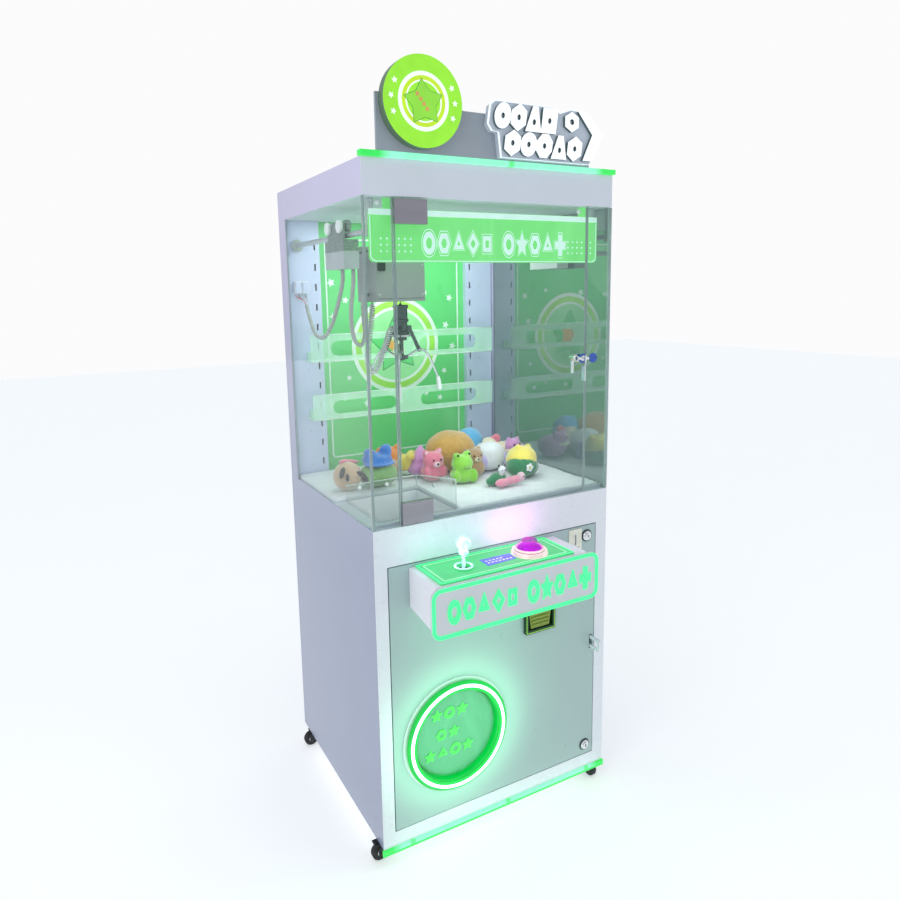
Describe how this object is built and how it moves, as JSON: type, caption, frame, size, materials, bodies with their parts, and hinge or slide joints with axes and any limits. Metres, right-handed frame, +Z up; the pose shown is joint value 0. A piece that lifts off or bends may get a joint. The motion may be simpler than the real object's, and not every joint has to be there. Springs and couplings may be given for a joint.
{
  "type": "claw crane machine",
  "caption": "Free-standing glazed prize crane on casters: claw on a rail bridge, prize chute and flap, joystick console, two hinged doors and a lit sign.",
  "frame": {"origin": "centre of the footprint (console included) on the floor", "axes": "+Z up, -Y out of the front, +X to the right seen from the front"},
  "size_m": [0.823, 0.88, 2.192],
  "materials": {
    "white_panel": "gloss",
    "white_post": "satin",
    "grey_sheet": "satin",
    "sign_grey": "satin",
    "dark_metal": "satin",
    "caster_metal": "satin",
    "zinc_rail": "polished",
    "lock_chrome": "polished",
    "finger_chrome": "polished",
    "claw_housing": "satin",
    "clear_glass": "polished",
    "clear_acrylic": "polished",
    "green_print": "gloss",
    "banner_green": "gloss",
    "mat_white": "matte",
    "plush": "matte",
    "roundel_lime": "satin",
    "nylon": "satin",
    "cord_dark": "matte",
    "sleeve_grey": "matte",
    "coil_grey": "satin",
    "gimbal_black": "satin",
    "crystal": "polished",
    "flap_green": "polished",
    "coin_plate": "satin",
    "coin_box": "gloss",
    "coin_flap": "gloss",
    "wheel_rubber": "matte",
    "box_grey": "satin",
    "led_strip": "satin",
    "marquee_white": "satin",
    "console_green": "gloss",
    "fascia_lit": "gloss",
    "button_pink": "polished"
  },
  "bodies": {
    "cabinet": {"base_frame": "white_panel", "cabinet_shell": "white_panel", "play_deck": "white_panel", "header_housing": "white_panel", "rear_frame": "white_post", "rear_display_panel": "green_print", "electronics_box": "box_grey", "header_light_strip": "led_strip", "base_light_strip": "led_strip", "left_glazing": "clear_glass", "right_glazing": "clear_glass", "banner_panel": "banner_green", "shelf_lower": "clear_acrylic", "shelf_upper": "clear_acrylic", "prize_chute": "clear_acrylic", "prize_mat": "mat_white", "prize_pile": "plush", "sign_board": "sign_grey", "roundel": "roundel_lime", "marquee_sign": "marquee_white", "runway_frame": "zinc_rail"},
    "glass_door": {"glass_door": "clear_glass"},
    "glass_door_lock": {"glass_door_lock": "lock_chrome"},
    "service_door": {"service_door": "white_panel", "console_housing": "white_panel", "console_top_panel": "console_green", "console_fascia": "fascia_lit", "prize_ring": "led_strip", "coin_acceptor": "coin_plate", "coin_return_box": "coin_box"},
    "prize_flap": {"prize_flap": "flap_green"},
    "coin_return_flap": {"coin_return_flap": "coin_flap"},
    "joystick_gimbal": {"joystick_gimbal": "gimbal_black"},
    "joystick": {"joystick": "crystal"},
    "push_button": {"push_button": "button_pink"},
    "door_lock_upper": {"door_lock_upper": "lock_chrome"},
    "door_lock_lower": {"door_lock_lower": "lock_chrome"},
    "bridge": {"bridge": "grey_sheet", "bridge_harness": "sleeve_grey", "trolley_harness": "sleeve_grey"},
    "trolley": {"trolley": "grey_sheet", "claw_coil_cord": "coil_grey", "hoist_cord": "cord_dark"},
    "hoist_drum": {"hoist_drum": "nylon"},
    "claw_head": {"claw_head": "claw_housing"},
    "claw_plunger": {"claw_plunger": "dark_metal"},
    "finger_1": {"finger_1": "finger_chrome"},
    "link_1": {"link_1": "dark_metal"},
    "finger_2": {"finger_2": "finger_chrome"},
    "link_2": {"link_2": "dark_metal"},
    "finger_3": {"finger_3": "finger_chrome"},
    "link_3": {"link_3": "dark_metal"},
    "caster_fork_front_left": {"caster_fork_front_left": "caster_metal"},
    "caster_wheel_front_left": {"caster_wheel_front_left": "wheel_rubber"},
    "caster_fork_front_right": {"caster_fork_front_right": "caster_metal"},
    "caster_wheel_front_right": {"caster_wheel_front_right": "wheel_rubber"},
    "caster_fork_rear_left": {"caster_fork_rear_left": "caster_metal"},
    "caster_wheel_rear_left": {"caster_wheel_rear_left": "wheel_rubber"},
    "caster_fork_rear_right": {"caster_fork_rear_right": "caster_metal"},
    "caster_wheel_rear_right": {"caster_wheel_rear_right": "wheel_rubber"}
  },
  "joints": [
    {"name": "glass_door_hinge", "type": "hinge", "parent": "cabinet", "child": "glass_door", "pos_m": [-0.3, -0.2655, 1.43], "axis": [0, 0, -1], "range_deg": [0, 100]},
    {"name": "glass_door_key", "type": "hinge", "parent": "glass_door", "child": "glass_door_lock", "pos_m": [0.267, -0.265, 1.423], "axis": [0, -1, 0], "range_deg": [0, 90]},
    {"name": "service_door_hinge", "type": "hinge", "parent": "cabinet", "child": "service_door", "pos_m": [-0.3615, -0.268, 0.5], "axis": [0, 0, -1], "range_deg": [0, 100]},
    {"name": "upper_lock_turn", "type": "hinge", "parent": "service_door", "child": "door_lock_upper", "pos_m": [0.321, -0.268, 0.861], "axis": [0, -1, 0], "range_deg": [0, 90]},
    {"name": "lower_lock_turn", "type": "hinge", "parent": "service_door", "child": "door_lock_lower", "pos_m": [0.324, -0.268, 0.143], "axis": [0, -1, 0], "range_deg": [0, 90]},
    {"name": "prize_flap_hinge", "type": "hinge", "parent": "service_door", "child": "prize_flap", "pos_m": [-0.16, -0.264, 0.477], "axis": [1, 0, 0], "range_deg": [0, 50]},
    {"name": "coin_return_hinge", "type": "hinge", "parent": "service_door", "child": "coin_return_flap", "pos_m": [0.137, -0.2753, 0.6696], "axis": [1, 0, 0], "range_deg": [0, 50]},
    {"name": "joystick_fore_aft", "type": "hinge", "parent": "service_door", "child": "joystick_gimbal", "pos_m": [-0.175, -0.351, 0.86], "axis": [1, 0, 0], "range_deg": [-15, 15], "stiffness_Nm_per_rad": 1.2},
    {"name": "joystick_left_right", "type": "hinge", "parent": "joystick_gimbal", "child": "joystick", "pos_m": [-0.175, -0.351, 0.86], "axis": [0, 1, 0], "range_deg": [-15, 15], "stiffness_Nm_per_rad": 1.2},
    {"name": "button_press", "type": "slide", "parent": "service_door", "child": "push_button", "axis": [0, 0, -1], "range_m": [0, 0.004], "stiffness_N_per_m": 1000, "springref_m": -0.004},
    {"name": "bridge_travel", "type": "slide", "parent": "cabinet", "child": "bridge", "axis": [0, 1, 0], "range_m": [-0.07, 0.195], "deforming": ["bridge_harness"]},
    {"name": "trolley_travel", "type": "slide", "parent": "bridge", "child": "trolley", "axis": [1, 0, 0], "range_m": [-0.045, 0.42], "deforming": ["trolley_harness"]},
    {"name": "claw_hoist", "type": "slide", "parent": "trolley", "child": "claw_head", "axis": [0, 0, -1], "range_m": [0, 0.13], "deforming": ["hoist_cord", "claw_coil_cord"]},
    {"name": "drum_spin", "type": "hinge", "parent": "trolley", "child": "hoist_drum", "pos_m": [-0.198, -0.029, 1.65], "axis": [1, 0, 0], "range_deg": [-5, 380]},
    {"name": "plunger_lift", "type": "slide", "parent": "claw_head", "child": "claw_plunger", "axis": [0, 0, 1], "range_m": [0, 0.035]},
    {"name": "finger_1_close", "type": "hinge", "parent": "claw_plunger", "child": "finger_1", "pos_m": [-0.184, -0.049, 1.436], "axis": [0, 1, 0], "range_deg": [0, 41.5]},
    {"name": "link_1_swing", "type": "hinge", "parent": "claw_head", "child": "link_1", "pos_m": [-0.171, -0.049, 1.52], "axis": [0, -1, 0], "range_deg": [0, 4]},
    {"name": "finger_2_close", "type": "hinge", "parent": "claw_plunger", "child": "finger_2", "pos_m": [-0.205, -0.03688, 1.436], "axis": [-0.866, -0.5, 0], "range_deg": [0, 41.5]},
    {"name": "link_2_swing", "type": "hinge", "parent": "claw_head", "child": "link_2", "pos_m": [-0.2115, -0.02562, 1.52], "axis": [0.866, 0.5, 0], "range_deg": [0, 4]},
    {"name": "finger_3_close", "type": "hinge", "parent": "claw_plunger", "child": "finger_3", "pos_m": [-0.205, -0.06112, 1.436], "axis": [0.866, -0.5, 0], "range_deg": [0, 41.5]},
    {"name": "link_3_swing", "type": "hinge", "parent": "claw_head", "child": "link_3", "pos_m": [-0.2115, -0.07238, 1.52], "axis": [-0.866, 0.5, 0], "range_deg": [0, 4]},
    {"name": "swivel_front_left", "type": "hinge", "parent": "cabinet", "child": "caster_fork_front_left", "pos_m": [-0.372, -0.22, 0.05], "axis": [0, 0, 1], "continuous": true},
    {"name": "roll_front_left", "type": "hinge", "parent": "caster_fork_front_left", "child": "caster_wheel_front_left", "pos_m": [-0.394, -0.22, 0.025], "axis": [0, 1, 0], "continuous": true},
    {"name": "swivel_front_right", "type": "hinge", "parent": "cabinet", "child": "caster_fork_front_right", "pos_m": [0.372, -0.22, 0.05], "axis": [0, 0, 1], "continuous": true},
    {"name": "roll_front_right", "type": "hinge", "parent": "caster_fork_front_right", "child": "caster_wheel_front_right", "pos_m": [0.372, -0.242, 0.025], "axis": [1, 0, 0], "continuous": true},
    {"name": "swivel_rear_left", "type": "hinge", "parent": "cabinet", "child": "caster_fork_rear_left", "pos_m": [-0.372, 0.392, 0.05], "axis": [0, 0, 1], "continuous": true},
    {"name": "roll_rear_left", "type": "hinge", "parent": "caster_fork_rear_left", "child": "caster_wheel_rear_left", "pos_m": [-0.394, 0.392, 0.025], "axis": [0, 1, 0], "continuous": true},
    {"name": "swivel_rear_right", "type": "hinge", "parent": "cabinet", "child": "caster_fork_rear_right", "pos_m": [0.372, 0.392, 0.05], "axis": [0, 0, 1], "continuous": true},
    {"name": "roll_rear_right", "type": "hinge", "parent": "caster_fork_rear_right", "child": "caster_wheel_rear_right", "pos_m": [0.372, 0.37, 0.025], "axis": [1, 0, 0], "continuous": true}
  ],
  "couplings": [
    {"joint": "drum_spin", "follows": "claw_hoist", "rad_per_m": 50},
    {"joint": "finger_1_close", "follows": "plunger_lift", "rad_per_m": 20.42},
    {"joint": "link_1_swing", "follows": "plunger_lift", "rad_per_m": 1.396},
    {"joint": "finger_2_close", "follows": "plunger_lift", "rad_per_m": 20.42},
    {"joint": "link_2_swing", "follows": "plunger_lift", "rad_per_m": 1.396},
    {"joint": "finger_3_close", "follows": "plunger_lift", "rad_per_m": 20.42},
    {"joint": "link_3_swing", "follows": "plunger_lift", "rad_per_m": 1.396}
  ]
}
